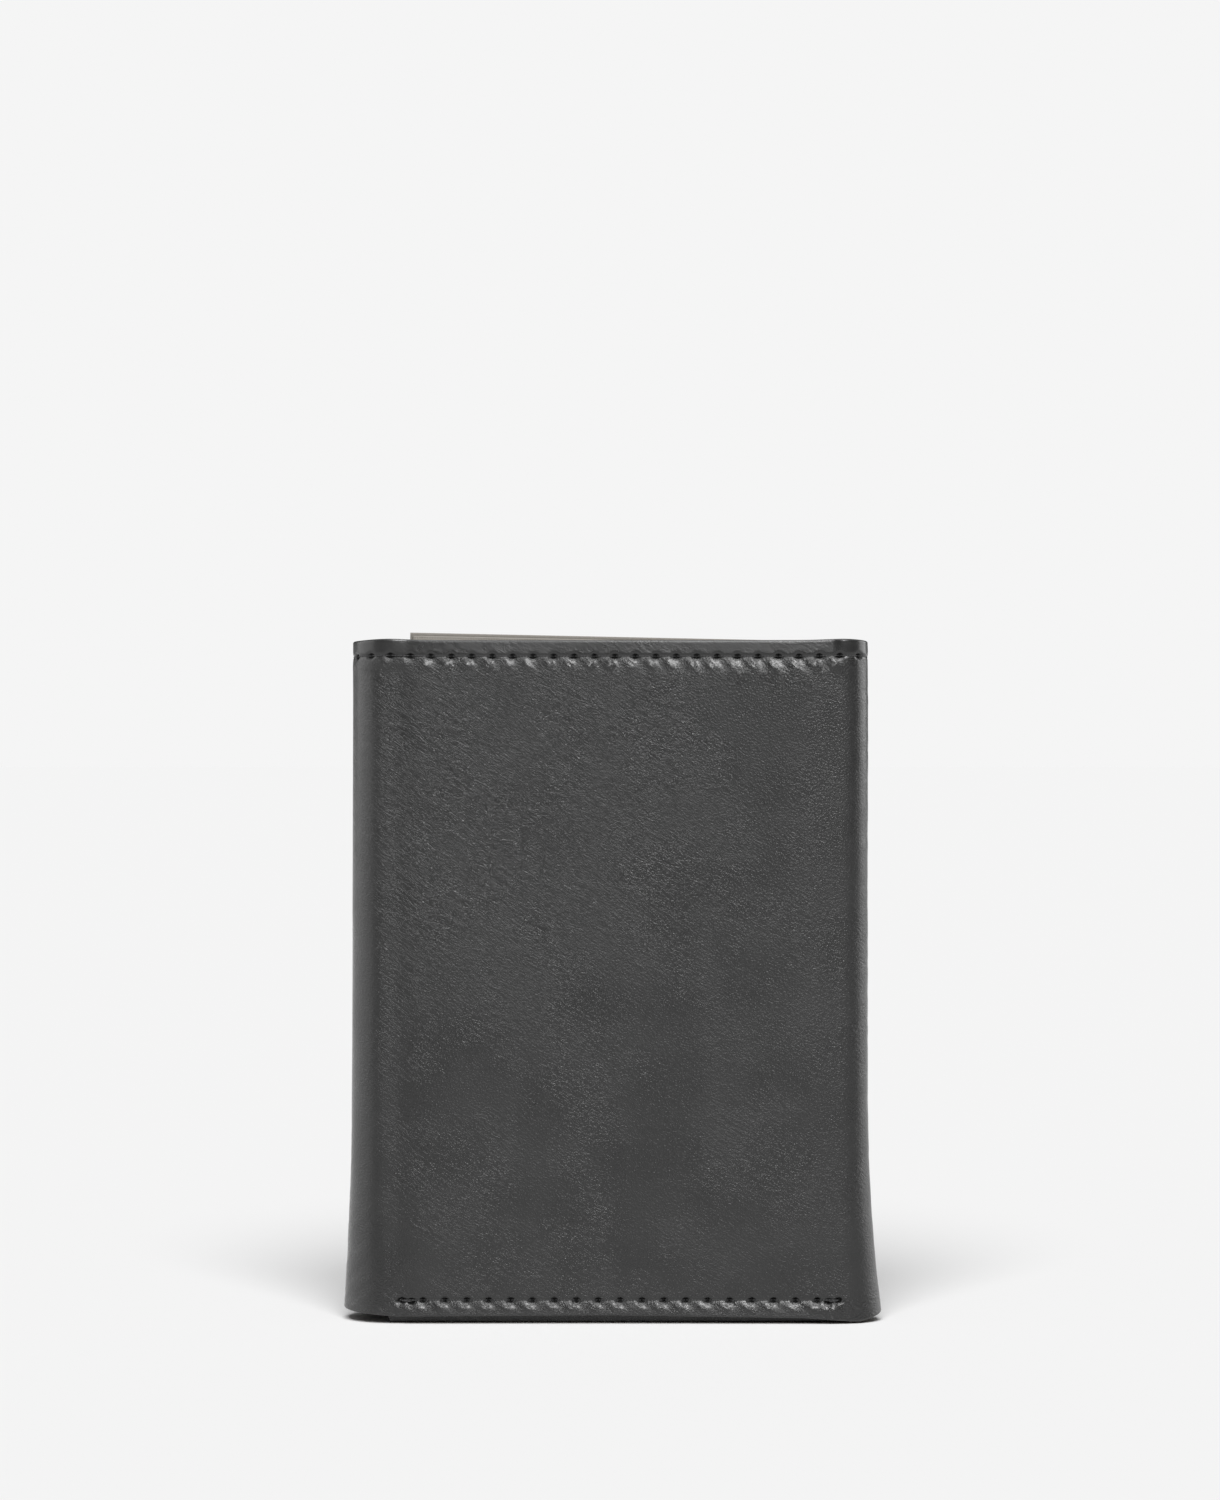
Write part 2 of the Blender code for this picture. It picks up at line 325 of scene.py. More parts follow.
def creasing(s, z):
    """Soft slanting creases, deepest at the upper left of the front panel, where the leather was drawn."""
    slant = math.radians(-36)
    along = (s * math.cos(slant) + z * math.sin(slant)) / (6.5 * MM)
    over = (-s * math.sin(slant) + z * math.cos(slant)) / (1.15 * MM)
    wander = noise(along * 1.7, over * 0.4, 11)
    ridges = 1 - np.abs(noise(along, over + wander, 12))
    patch = bell(s, -17 * MM, 17 * MM) * bell(z, 80 * MM, 17 * MM)
    weight = 0.12 + 0.88 * patch
    edges = smooth(z, 7 * MM, 16 * MM) * (1 - smooth(z, TOP_SEAM - 2 * MM, TOP_SEAM - 1 * MM))
    return 0.055 * MM * weight * edges * (ridges**3 - 0.4)


def fold_creases(s, z):
    """Fine slanting creases low on the left fold, and level ones along the right fold."""
    left = bell(s, LEFT_MIDDLE, 7 * MM) * (1 - smooth(z, 8 * MM, 40 * MM))
    slant = noise(s / (9 * MM) + z / (5 * MM), (z - 0.9 * s) / (1.3 * MM), 21)
    right = bell(s, RIGHT_MIDDLE, 5 * MM)
    level = noise(s / (11 * MM), z / (1.5 * MM), 22)
    return 0.05 * MM * left * slant + 0.03 * MM * right * level


def groove(s, z, row):
    """The line that a row of stitches pulls into the leather."""
    points = np.array(row)
    if np.ptp(points[:, 0]) > np.ptp(points[:, 1]):
        ends = smooth(s, points[0, 0] - MM, points[0, 0]) * (1 - smooth(s, points[-1, 0], points[-1, 0] + MM))
        return -GROOVE_DEPTH * MM * bell(z, points[0, 1], GROOVE_WIDTH) * ends
    ends = smooth(z, points[0, 1] - MM, points[0, 1]) * (1 - smooth(z, points[-1, 1], points[-1, 1] + MM))
    return -GROOVE_DEPTH * MM * bell(s, points[0, 0], GROOVE_WIDTH) * ends


def add_pucker(relief, s, z, hole, draw):
    """Sinks one stitch hole into the relief and raises the leather that it draws up beside it."""
    near = 3.2 * MM
    columns = slice(*np.searchsorted(s, [hole[0] - near, hole[0] + near]))
    rows = np.abs(z - hole[1]) < near
    across = s[columns, None] - hole[0]
    up = z[None, rows] - hole[1]
    dent = np.exp(-((across / DENT[0]) ** 2) - (up / DENT[1]) ** 2)
    beside, below = across + BULGE_SHIFT[0], up + BULGE_SHIFT[1]
    along = (beside - below) * math.sqrt(0.5)
    over = (beside + below) * math.sqrt(0.5)
    bulge = np.exp(-((along / BULGE[0]) ** 2) - (over / BULGE[1]) ** 2)
    streaks = noise(over / (0.3 * MM) + hole[0] / MM, along / (1.4 * MM), 31)
    relief[columns, rows] += -DENT_DEPTH * MM * dent + draw * MM * bulge * (1 + 0.5 * streaks)


def outer_relief(s, z):
    """How far the leather's outer face stands proud, on the grid of s and z."""
    across, up = s[:, None], z[None, :]
    relief = panel_pillow(across, up) + undulation(across, up)
    relief = relief + creasing(across, up) + fold_creases(across, up)
    for row in SEAMS.values():
        relief = relief + groove(across, up, row)
    draws = np.random.default_rng(41)
    for name, row in SEAMS.items():
        for hole in row:
            plain = name.startswith("side") or LEFT_BACK < hole[0] < LEFT_TANGENT - 2 * MM
            plain = plain or RIGHT_TANGENT + 2 * MM < hole[0] < RIGHT_BACK
            draw = 0.05 if plain else draws.uniform(0.15, 0.24)
            add_pucker(relief, s, z, hole, draw)
    for hole in back_tacks():
        add_pucker(relief, s, z, hole, 0.2)
    return relief


# Meshes


def layer_profile(rows, top, depths, rounding, inner_step):
    """One turn round a layer's upright section, from the foot of its outer face.

    Returns the heights, the depths and how much of the relief each point takes.
    """
    foot = rows[0]
    outer, inner = depths
    turn = np.linspace(0, HALF_PI, 5)
    face = rows[(rows > foot + rounding * 1.3) & (rows < top - rounding * 1.3)]
    count = max(4, int((top - foot) / inner_step))
    inside = np.linspace(top - rounding, foot + rounding, count)[1:-1]
    low_outer = (foot + rounding * (1 - np.cos(turn)), outer + rounding * (1 - np.sin(turn)))
    high_outer = (top - rounding * (1 - np.sin(turn)), outer + rounding * (1 - np.cos(turn)))
    high_inner = (top - rounding * (1 - np.cos(turn)), inner - rounding * (1 - np.sin(turn)))
    low_inner = (foot + rounding * (1 - np.sin(turn)), inner - rounding * (1 - np.cos(turn)))
    parts = [
        low_outer,
        (face, np.full(len(face), outer)),
        high_outer,
        high_inner,
        (inside, np.full(len(inside), inner)),
        low_inner,
    ]
    heights = np.concatenate([part[0] for part in parts])
    depths = np.concatenate([part[1] for part in parts])
    taken = np.clip(1 - (depths - outer) / (rounding + 0.15 * MM), 0, 1)
    return heights, depths, taken


def graded(edges, steps):
    """Places from the first edge to the last, with the step given for each stretch."""
    places = [np.array([edges[0]])]
    for low, high, step in zip(edges, edges[1:], steps):
        places.append(np.linspace(low, high, max(1, round((high - low) / step)) + 1)[1:])
    return np.concatenate(places)


def edge_fade(s, depths, middle, rounding):
    """Depths that close round the free edges of the two flaps."""
    gap = np.minimum(s - OUTER_EDGE, INNER_EDGE - s)
    left_over = np.clip(1 - gap / rounding, 0, 0.96)
    share = np.sqrt(1 - left_over**2)
    return middle + (depths - middle) * share[:, None]


def grid_normals(points):
    """Normals of a grid of columns whose rows close round on themselves."""
    along = np.gradient(points, axis=0)
    round_it = np.roll(points, -1, axis=1) - np.roll(points, 1, axis=1)
    normals = np.cross(along, round_it)
    return normals / np.maximum(np.linalg.norm(normals, axis=-1, keepdims=True), 1e-12)


def grid_mesh(name, points, u, v, inside_from=None, normals=None):
    """A closed solid from columns of points, each one turn round the solid's section.

    u and v are the material's coordinates along the columns and round the section. Rows from
    inside_from on take the second material.
    """
    columns, rows = points.shape[:2]
    index = np.arange(columns * rows).reshape(columns, rows)
    after = np.roll(index, -1, axis=1)
    quads = np.stack([index[:-1], index[1:], after[1:], after[:-1]], axis=-1).reshape(-1, 4)
    ends = np.concatenate([index[0], index[-1][::-1]])
    mesh = bpy.data.meshes.new(name)
    mesh.vertices.add(columns * rows)
    mesh.vertices.foreach_set("co", points.astype(np.float32).ravel())
    mesh.loops.add(quads.size + ends.size)
    mesh.loops.foreach_set("vertex_index", np.concatenate([quads.ravel(), ends]).astype(np.int32))
    starts = np.concatenate([np.arange(len(quads)) * 4, quads.size + np.array([0, rows])])
    mesh.polygons.add(len(quads) + 2)
    mesh.polygons.foreach_set("loop_start", starts.astype(np.int32))
    mesh.update(calc_edges=True)

    layer = mesh.uv_layers.new(name="unrolled")
    v_next = np.append(v[1:], v[0] + (v[-1] - v[0]) + abs(v[1] - v[0]))
    us = np.stack([u[:-1], u[1:], u[1:], u[:-1]], axis=-1)[:, None, :]
    vs = np.stack([v, v, v_next, v_next], axis=-1)[None, :, :]
    us, vs = np.broadcast_arrays(us, vs)
    side = np.stack([us, vs], axis=-1).reshape(-1, 2)
    caps = np.concatenate(
        [
            np.stack([np.full(rows, u[0]), v], axis=-1),
            np.stack([np.full(rows, u[-1]), v[::-1]], axis=-1),
        ]
    )
    layer.data.foreach_set("uv", np.concatenate([side, caps]).astype(np.float32).ravel())
    mesh.polygons.foreach_set("use_smooth", np.ones(len(mesh.polygons), bool))
    if inside_from is not None:
        inside = np.zeros((columns - 1, rows), np.int32)
        inside[:, inside_from:] = 1
        mesh.polygons.foreach_set("material_index", np.concatenate([inside.ravel(), [0, 0]]))
    if normals is not None:
        mesh.normals_split_custom_set_from_vertices(normals.reshape(-1, 3))
    obj = bpy.data.objects.new(name, mesh)
    bpy.context.scene.collection.objects.link(obj)
    return obj


def running_length(heights, depths):
    steps = np.hypot(np.diff(heights), np.diff(depths))
    return np.concatenate([[0], np.cumsum(steps)])


def attach(obj, section, slot, *nodes):
    """Makes a piece move with its section's body; a fold's piece, which lies between two bodies, is only
    fixed where it lies.
    """
    bodies = BODIES[section]
    if len(bodies) == 1:
        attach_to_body(obj, bodies[0])
    else:
        start, end = fold_ends(section)
        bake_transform(obj)
    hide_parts(*nodes)


def fold_ends(section):
    """The two ends of a fold's quarter in plan, on the plain round skin."""
    ends = []
    for s in SECTIONS[section]:
        x, y, _ = place(s, HEIGHT / 2, 0.0)
        ends.append((float(x), float(y), 0.0))
    return ends


def layer_pieces(name, cad_name, columns, v, points, slot, materials, inside_from=None, normals=None):
    """Cuts a layer into a piece for each section, and lets it stand for that section's CAD solid."""
    for section, (first, last) in SECTIONS.items():
        picked = np.flatnonzero((columns > first - 1e-9) & (columns < last + 1e-9))
        own_normals = None if normals is None else normals[picked]
        obj = grid_mesh(
            f"{name}_{section}", points[picked], columns[picked], v, inside_from, own_normals
        )
        for material in materials:
            obj.data.materials.append(material)
        attach(obj, section, slot, f"{cad_name}_{STANDS_FOR[section]}")


def column_places(step, fold_step, edge_step=None):
    """Columns along s that include every place where two sections meet."""
    marks = sorted({mark for span in SECTIONS.values() for mark in span})
    steps = [step if high - low > 20 * MM else fold_step for low, high in zip(marks, marks[1:])]
    places = graded(marks, steps)
    if edge_step is None:
        return places
    extra = edge_step * np.array([0.15, 0.4, 0.8])
    return np.unique(np.concatenate([places, OUTER_EDGE + extra, INNER_EDGE - extra]))


def make_shell(materials):
    """The one leather skin round all three panels, in a piece for each section."""
    rounding = 0.32 * MM
    columns = column_places(0.3 * MM, 0.25 * MM, rounding)
    rows = graded([0, 7 * MM, 97 * MM, HEIGHT], [0.2 * MM, 0.33 * MM, 0.18 * MM])
    heights, depths, taken = layer_profile(rows, HEIGHT, (0, SHELL_THICKNESS), rounding, 4 * MM)
    relief = outer_relief(columns, heights) * taken[None, :]
    deep = edge_fade(columns, np.broadcast_to(depths, relief.shape), SHELL_THICKNESS / 2, rounding)
    foot = shell_foot(columns)[:, None] * np.clip(1 - heights / (3 * MM), 0, 1)
    drop = top_drop(columns)[:, None] * smooth(heights, HEIGHT - 6 * MM, HEIGHT)
    points = place(columns[:, None], heights[None, :] + foot - drop, deep - relief)
    normals = grid_normals(points)
    v = running_length(heights, depths)
    inside_from = int(np.argmax(depths > SHELL_THICKNESS / 2))
    layer_pieces(
        "leather", "shell", columns, v, points, "shell_leather", materials, inside_from, normals
    )


def make_lining(materials):
    columns = column_places(1.2 * MM, 0.5 * MM, 0.1 * MM)
    rounding = 0.1 * MM
    rows = graded([LINING_FOOT, 97 * MM, LINING_TOP], [2.5 * MM, 0.5 * MM])
    heights, depths, _ = layer_profile(rows, LINING_TOP, LINING, rounding, 2.5 * MM)
    wave = 0.06 * MM * noise(columns[:, None] / (6 * MM), heights[None, :] / (9 * MM), 51)
    columns_in = np.clip(columns, OUTER_EDGE + EDGE_INSET, INNER_EDGE - EDGE_INSET)
    drop = top_drop(columns)[:, None] * smooth(heights, HEIGHT - 6 * MM, HEIGHT)
    lift = fold_lift(columns, rows[0])[:, None] * np.clip(1 - (heights - rows[0]) / (4 * MM), 0, 1)
    points = place(columns_in[:, None], heights[None, :] - drop + lift, depths[None, :] + wave)
    v = running_length(heights, depths)
    layer_pieces("lining", "lining", columns, v, points, "lining_fabric", materials)


def fold_lift(s, foot):
    """How much an inner layer's foot rises in the folds, to stay within the shell's."""
    in_fold = smooth(s, LEFT_BACK, LEFT_BACK + 2 * MM)
    in_fold = in_fold - smooth(s, LEFT_TANGENT - 2.2 * MM, LEFT_TANGENT - 1.8 * MM)
    in_fold = in_fold + smooth(s, RIGHT_TANGENT + 3 * MM, RIGHT_MIDDLE)
    in_fold = in_fold - smooth(s, RIGHT_BACK, RIGHT_BACK + 4 * MM)
    return np.maximum(shell_foot(s) + 0.2 * MM - foot, 0) * in_fold


def wall_foot(s):
    """How much further down the inner wall reaches: to the ground behind the front panel."""
    centre = smooth(s, LEFT_TANGENT - 2.2 * MM, LEFT_TANGENT - 1.8 * MM)
    centre = centre * (1 - smooth(s, RIGHT_TANGENT + 2 * MM, RIGHT_MIDDLE))
    return WALL_FOOT * np.maximum(centre, smooth(s, RIGHT_BACK, RIGHT_BACK + 4 * MM))


def make_wall(materials):
    """The inner wall, whose top edge is turned over and so a little thicker."""
    columns = column_places(0.6 * MM, 0.4 * MM, 0.2 * MM)
    rounding = 0.2 * MM
    rows = graded([WALL_FOOT, 95 * MM, WALL_TOP], [1.2 * MM, 0.25 * MM])
    heights, depths, _ = layer_profile(rows, WALL_TOP, WALL, rounding, 0.6 * MM)
    bead = 0.1 * MM * smooth(heights, WALL_TOP - 1.6 * MM, WALL_TOP - 1.1 * MM)
    line = 0.06 * MM * bell(heights, WALL_TOP - SEAM_INSET, 0.25 * MM)
    middle = sum(WALL) / 2
    fuller = np.where(depths > middle, bead - line, -bead)
    grain = 0.04 * MM * noise(columns[:, None] / (5 * MM), heights[None, :] / (7 * MM), 61)
    columns_in = np.clip(columns, OUTER_EDGE + EDGE_INSET, INNER_EDGE - EDGE_INSET)
    drop = top_drop(columns)[:, None] * smooth(heights, HEIGHT - 6 * MM, HEIGHT)
    lower = wall_foot(columns) - fold_lift(columns, rows[0])
    lower = lower[:, None] * np.clip(1 - (heights - rows[0]) / (4 * MM), 0, 1)
    points = place(columns_in[:, None], heights[None, :] - drop - lower, depths[None, :] + fuller + grain)
    v = running_length(heights, depths)
    normals = grid_normals(points)
    layer_pieces(
        "inner_wall", "inner_wall", columns, v, points, "pocket_leather", materials, normals=normals
    )


def make_pockets(materials):
    """Three staggered card pockets on each panel, with a creased line under each mouth."""
    for section in ("centre", "outer_flap", "inner_flap"):
        for number, (depth, mouth) in enumerate(zip(POCKET_DEPTHS, POCKET_MOUTHS), start=1):
            node = f"card_pocket_{section}_{number}"
            make_pocket(f"pocket_{section}_{number}", section, node, depth, mouth, materials)


def pocket_span(section, node):
    """Where a pocket lies along s, from its CAD solid."""
    low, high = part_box(node)
    if section == "centre":
        return low.x, high.x
    if section == "outer_flap":
        return LEFT_BACK - (high.x - LEFT_TANGENT), LEFT_BACK - (low.x - LEFT_TANGENT)
    return RIGHT_BACK + RIGHT_TANGENT - high.x, RIGHT_BACK + RIGHT_TANGENT - low.x - 0.15 * MM


def make_pocket(name, section, node, depth, mouth, materials):
    first, last = pocket_span(section, node)
    rounding = 0.13 * MM
    columns = np.linspace(first, last, 130)
    rows = graded([POCKET_FOOT, mouth - 4 * MM, mouth], [1.2 * MM, 0.2 * MM])
    heights, depths, _ = layer_profile(
        rows, mouth, (depth, depth + POCKET_THICKNESS), rounding, 0.7 * MM
    )
    share = (columns - first) / (last - first)
    scoop = 1.6 * MM * np.sin(math.pi * share) ** 2
    fall = scoop[:, None] * smooth(heights, mouth - 25 * MM, mouth)
    inner = depths > depth + POCKET_THICKNESS / 2
    line = np.where(inner, 0.07 * MM * bell(heights, mouth - 1.7 * MM, 0.28 * MM), 0)
    rim = np.where(inner, 0.05 * MM * smooth(heights, mouth - 1.2 * MM, mouth - 0.6 * MM), 0)
    wave = 0.05 * MM * noise(columns[:, None] / (9 * MM), heights[None, :] / (12 * MM), 70)
    points = place(columns[:, None], heights[None, :] - fall, (depths - line + rim)[None, :] + wave)
    v = running_length(heights, depths)
    obj = grid_mesh(name, points, columns, v, normals=grid_normals(points))
    for material in materials:
        obj.data.materials.append(material)
    attach(obj, section, "pocket_leather", node)


# Stitches


def stitch_line(start, end, depth_at, sink, proud):
    """The way one stitch takes from hole to hole, over the face at depth_at, or the skin if None."""
    share = np.linspace(0, 1, 11)
    s = start[0] + (end[0] - start[0]) * share
    z = start[1] + (end[1] - start[1]) * share
    outwards = -1 if depth_at is None else 1
    base = 0 if depth_at is None else depth_at
    over = proud - (proud + sink) * np.abs(2 * share - 1) ** 5
    return s, z, base + outwards * over


def tube(points, normals, radius, u0):
    """Rings round a line: points, and coordinates along and round it."""
    along = np.gradient(points, axis=0)
    along /= np.linalg.norm(along, axis=1, keepdims=True)
    side = np.cross(along, normals)
    side /= np.linalg.norm(side, axis=1, keepdims=True)
    up = np.cross(side, along)
    turn = np.linspace(0, 2 * math.pi, 8, endpoint=False)
    length = running_length_of(points)
    plump = radius * (0.75 + 0.25 * np.sin(math.pi * length / length[-1]))[:, None, None]
    rings = points[:, None, :] + plump * (
        np.cos(turn)[None, :, None] * side[:, None, :] + np.sin(turn)[None, :, None] * up[:, None, :]
    )
    return rings[:, ::-1], u0 + length, turn * radius


def running_length_of(points):
    return np.concatenate([[0], np.cumsum(np.linalg.norm(np.diff(points, axis=0), axis=1))])


def make_stitches(name, section, rows, slot_nodes, materials):
    """One mesh of separate stitches. A row is (holes, depth or None for the skin, proud)."""
    parts = []
    for holes, depth_at, proud in rows:
        for start, end in zip(holes, holes[1:]):
            s, z, depth = stitch_line(start, end, depth_at, 0.45 * MM, proud)
            z = z - top_drop(s) * smooth(z, HEIGHT - 6 * MM, HEIGHT)
            points = place(s, z, depth)
            normals = place(s, z, depth - 0.1 * MM) - points
            if depth_at is not None:
                normals = -normals
            parts.append(tube(points, normals, THREAD_RADIUS, start[0]))
    vertices, faces, uvs = [], [], []
    for rings, u, v in parts:
        base = len(vertices)
        columns, sides = rings.shape[:2]
        vertices.extend(map(tuple, rings.reshape(-1, 3)))
        for i in range(columns - 1):
            for j in range(sides):
                k = (j + 1) % sides
                faces.append([base + i * sides + j, base + (i + 1) * sides + j,
                              base + (i + 1) * sides + k, base + i * sides + k])
                top = v[j] + (v[1] - v[0])
                uvs.extend([(u[i], v[j]), (u[i + 1], v[j]), (u[i + 1], top), (u[i], top)])
        for end, order in ((0, range(sides)), (columns - 1, range(sides - 1, -1, -1))):
            faces.append([base + end * sides + j for j in order])
            uvs.extend([(u[end], v[j]) for j in order])
    mesh = bpy.data.meshes.new(name)
    mesh.from_pydata(vertices, [], faces)
    layer = mesh.uv_layers.new(name="unrolled")
    layer.data.foreach_set("uv", np.array(uvs, np.float32).ravel())
    mesh.polygons.foreach_set("use_smooth", np.ones(len(mesh.polygons), bool))
    obj = bpy.data.objects.new(name, mesh)
    bpy.context.scene.collection.objects.link(obj)
    for material in materials:
        obj.data.materials.append(material)
    attach(obj, section, "thread", *slot_nodes)


def runs_in(section, holes):
    """The holes of a row whose stitches have their middle in a section."""
    first, last = SECTIONS[section]
    picked = [
        (start, end)
        for start, end in zip(holes, holes[1:])
        if first <= (start[0] + end[0]) / 2 < last
    ]
    return [picked[0][0]] + [end for _, end in picked] if picked else []


def make_threads(materials):
    wall_holes = [(s, WALL_TOP - SEAM_INSET) for s in (top_holes() + STITCH / 2)[:-1]]
    for section in SECTIONS:
        part = STANDS_FOR[section]
        outside = runs_in(section, SEAMS["top"])
        inside = runs_in(section, wall_holes)
        make_stitches(
            f"stitches_top_{section}", section, [(outside, None, SUNK)], [f"thread_top_{part}"], materials
        )
        make_stitches(
            f"stitches_wall_{section}",
            section,
            [(inside, WALL[1], 0.1 * MM)],
            [f"wall_thread_{part}"],
            materials,
        )
    pocket_face = POCKET_DEPTHS[-1] + POCKET_THICKNESS
    for section in ("centre", "outer_flap", "inner_flap"):
        holes = SEAMS[f"bottom_{section}"]
        rows = [(holes, None, SUNK), (holes, pocket_face, 0.08 * MM)]
        if section == "centre":
            tacks = back_tacks()
            rows.append(([holes[0], tacks[0]], None, 0.1 * MM))
            rows.append(([tacks[1], holes[-1]], None, 0.14 * MM))
        make_stitches(
            f"stitches_bottom_{section}", section, rows, [f"thread_bottom_{section}"], materials
        )
    steps = [(0, POCKET_MOUTHS[2], pocket_face)]
    steps.append((POCKET_MOUTHS[2], POCKET_MOUTHS[1], POCKET_DEPTHS[1] + POCKET_THICKNESS))
    steps.append((POCKET_MOUTHS[1], POCKET_MOUTHS[0], POCKET_DEPTHS[0] + POCKET_THICKNESS))
    steps.append((POCKET_MOUTHS[0], HEIGHT, WALL[1]))
    for section in ("outer_flap", "inner_flap"):
        holes = SEAMS[f"side_{section}"]
        rows = [(holes, None, SUNK)]
        for low, high, depth in steps:
            part = [hole for hole in holes if low <= hole[1] < high]
            rows.append((part, depth, 0.08 * MM))
        make_stitches(f"stitches_side_{section}", section, rows, [f"thread_side_{section}"], materials)


# Materials


class Nodes:
    """A short way to write a material's nodes."""

    def __init__(self, name):
        self.material = bpy.data.materials.new(name)
        self.material.use_nodes = True
        self.tree = self.material.node_tree
        self.shader = self.tree.nodes["Principled BSDF"]
        uv = self.tree.nodes.new("ShaderNodeUVMap")
        uv.uv_map = "unrolled"
        scale = self.tree.nodes.new("ShaderNodeVectorMath")
        scale.operation = "SCALE"
        scale.inputs["Scale"].default_value = 1000
        self.join(uv.outputs[0], scale.inputs[0])
        self.mm = scale.outputs[0]

    def join(self, source, target):
        self.tree.links.new(source, target)

    def math(self, operation, first, second=0.0, third=0.0, clamp=False):
        node = self.tree.nodes.new("ShaderNodeMath")
        node.operation = operation
        node.use_clamp = clamp
        for socket, value in zip(node.inputs, (first, second, third)):
            if isinstance(value, (int, float)):
                socket.default_value = value
            else:
                self.join(value, socket)
        return node.outputs[0]

    def placed(self, angle=0.0, scale=(1, 1, 1), shift=(0, 0, 0)):
        """The coordinates turned by an angle and then scaled."""
        turned = self.tree.nodes.new("ShaderNodeMapping")
        turned.inputs["Rotation"].default_value[2] = angle
        self.join(self.mm, turned.inputs["Vector"])
        node = self.tree.nodes.new("ShaderNodeMapping")
        node.inputs["Scale"].default_value = scale
        node.inputs["Location"].default_value = shift
        self.join(turned.outputs[0], node.inputs["Vector"])
        return node.outputs[0]

    def noise(self, vector, scale, detail=2.0, roughness=0.5, distortion=0.0):
        node = self.tree.nodes.new("ShaderNodeTexNoise")
        node.noise_dimensions = "2D"
        node.inputs["Scale"].default_value = scale
        node.inputs["Detail"].default_value = detail
        node.inputs["Roughness"].default_value = roughness
        node.inputs["Distortion"].default_value = distortion
        self.join(vector, node.inputs["Vector"])
        return node.outputs["Fac"]

    def cells(self, vector, scale, feature="F1", smoothness=None):
        node = self.tree.nodes.new("ShaderNodeTexVoronoi")
        node.voronoi_dimensions = "2D"
        node.feature = feature
        node.inputs["Scale"].default_value = scale
        if smoothness is not None:
            node.inputs["Smoothness"].default_value = smoothness
        self.join(vector, node.inputs["Vector"])
        return node.outputs["Distance"]

    def spread(self, value, low, high, first, last):
        """The value's stretch from low to high, as first to last."""
        node = self.tree.nodes.new("ShaderNodeMapRange")
        node.interpolation_type = "SMOOTHSTEP"
        for name, number in (("From Min", low), ("From Max", high), ("To Min", first), ("To Max", last)):
            node.inputs[name].default_value = number
        self.join(value, node.inputs["Value"])
        return node.outputs["Result"]

    def ramp(self, value, first, last):
        """From one colour to another."""
        node = self.tree.nodes.new("ShaderNodeMix")
        node.data_type = "RGBA"
        node.inputs["A"].default_value = (*first, 1)
        node.inputs["B"].default_value = (*last, 1)
        self.join(value, node.inputs["Factor"])
        return node.outputs["Result"]

    def bump(self, height, strength, distance):
        node = self.tree.nodes.new("ShaderNodeBump")
        node.inputs["Strength"].default_value = strength
        node.inputs["Distance"].default_value = distance
        self.join(height, node.inputs["Height"])
        self.join(node.outputs[0], self.shader.inputs["Normal"])

    def patch(self, middle, radii):
        """1 at a place on the unrolled skin, fading to 0 at its radii."""
        node = self.tree.nodes.new("ShaderNodeMapping")
        node.inputs["Scale"].default_value = (1 / radii[0], 1 / radii[1], 1)
        node.inputs["Location"].default_value = (-middle[0] / radii[0], -middle[1] / radii[1], 0)
        self.join(self.mm, node.inputs["Vector"])
        length = self.tree.nodes.new("ShaderNodeVectorMath")
        length.operation = "LENGTH"
        self.join(node.outputs[0], length.inputs[0])
        return self.spread(length.outputs["Value"], 0.2, 1.0, 1.0, 0.0)


def leather_material(name, dark, light, roughness, smooth_above=1000.0):
    """Charcoal leather: fine pebbles, slanting wrinkles and a soft uneven shine.

    The relief is in millimetres, and fades above a height where the leather was pressed flat.
    """
    look = Nodes(name)
    pebbles = look.spread(look.cells(look.placed(), 2.3), 0.0, 0.62, 1.0, 0.0)
    small = look.spread(look.cells(look.placed(shift=(3.7, 1.3, 0)), 4.6), 0.0, 0.6, 1.0, 0.0)
    slanted = look.placed(angle=math.radians(36), scale=(0.55, 1.9, 1))
    wrinkles = look.noise(slanted, 1.0, 3, 0.6, 0.35)
    wrinkles = look.math("ABSOLUTE", look.math("SUBTRACT", wrinkles, 0.5))
    wrinkles = look.spread(wrinkles, 0.0, 0.12, 1.0, 0.0)
    drawn = look.patch((-17, 82), (40, 40))
    blotches = look.spread(look.noise(look.placed(), 0.07, 3, 0.6), 0.35, 0.65, 0.15, 0.55)
    amount = look.math("MULTIPLY_ADD", drawn, 0.7, blotches)
    height = look.math("MULTIPLY", pebbles, 0.019)
    height = look.math("MULTIPLY_ADD", small, 0.013, height)
    height = look.math("MULTIPLY_ADD", look.math("MULTIPLY", wrinkles, amount), 0.034, height)
    drawn_lines = look.placed(angle=math.radians(36), scale=(0.16, 0.7, 1), shift=(5, 2, 0))
    creases = look.noise(drawn_lines, 1.0, 2, 0.5, 0.6)
    creases = look.math("ABSOLUTE", look.math("SUBTRACT", creases, 0.5))
    creases = look.math("MULTIPLY", look.spread(creases, 0.0, 0.06, 1.0, 0.0), drawn)
    height = look.math("MULTIPLY_ADD", creases, 0.03, height)
    place = look.tree.nodes.new("ShaderNodeSeparateXYZ")
    look.join(look.mm, place.inputs[0])
    pressed = look.spread(place.outputs["Y"], smooth_above - 0.3, smooth_above + 0.3, 1.0, 0.2)
    look.bump(look.math("MULTIPLY", height, pressed), 1.0, MM)
    look.shader.inputs["Coat Weight"].default_value = 0.35
    look.shader.inputs["Coat Roughness"].default_value = 0.22
    tone = look.spread(look.noise(look.placed(), 0.13, 4, 0.6), 0.3, 0.7, 0, 1)
    look.join(look.ramp(tone, dark, light), look.shader.inputs["Base Color"])
    shine = look.noise(look.placed(shift=(9, 4, 0)), 0.09, 3, 0.6)
    look.join(
        look.spread(shine, 0.3, 0.7, roughness - 0.05, roughness + 0.07),
        look.shader.inputs["Roughness"],
    )
    return look.material


